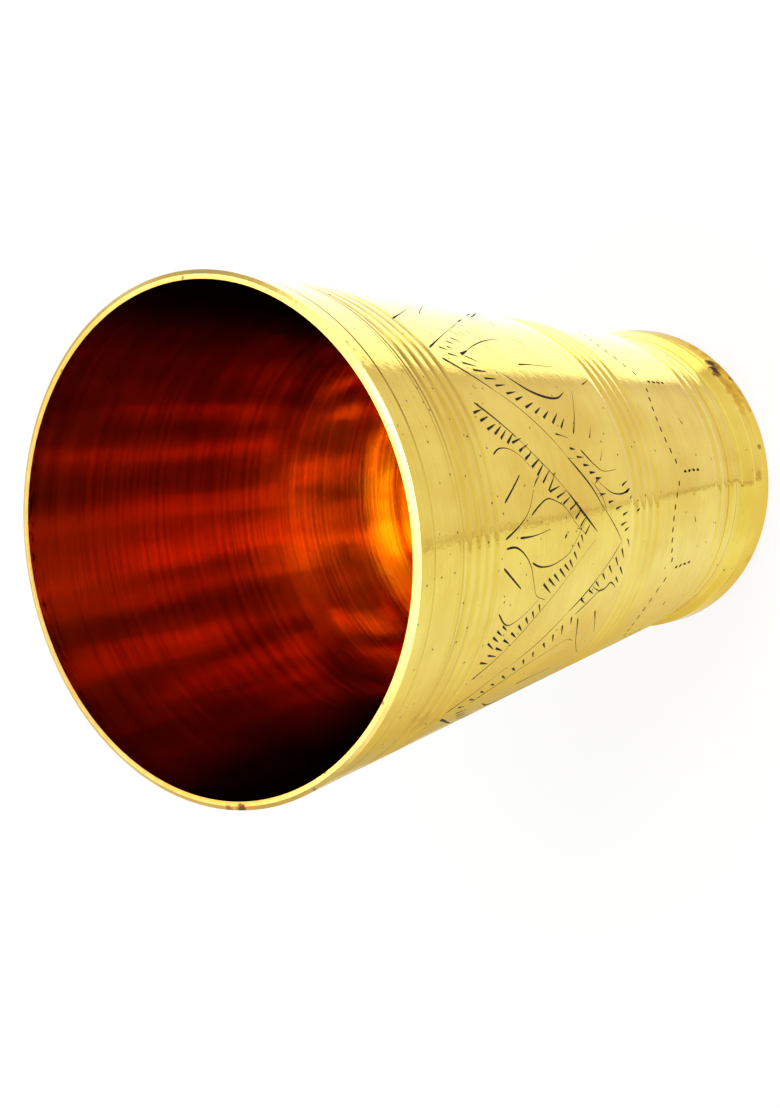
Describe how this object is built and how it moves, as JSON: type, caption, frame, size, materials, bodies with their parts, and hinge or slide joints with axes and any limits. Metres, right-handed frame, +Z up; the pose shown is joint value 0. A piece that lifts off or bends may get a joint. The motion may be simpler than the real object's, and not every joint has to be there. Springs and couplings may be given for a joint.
{
  "type": "brass tumbler",
  "caption": "Tapered brass drinking tumbler with turned ring bands, an engraved zigzag band, a flat floor, a waist above the base and a plain foot ring to stand on.",
  "frame": {"origin": "centre of the foot's flat face, on the axis of the cup", "axes": "+Z up along the axis of the cup, from the foot to the mouth; X and Y are free because the body is a solid of revolution"},
  "size_m": [0.089, 0.089, 0.127],
  "materials": {
    "wall_brass": "polished yellow brass, worn, with fine turning lines",
    "floor_brass": "turned brass, darker and redder inside the cup",
    "foot_brass": "polished yellow brass with a few tarnish spots",
    "braze": "dull brass filler"
  },
  "bodies": {
    "root": {"cup_wall": "wall_brass", "cup_floor": "floor_brass", "foot_ring": "foot_brass", "floor_braze": "braze", "foot_braze": "braze"}
  },
  "joints": []
}
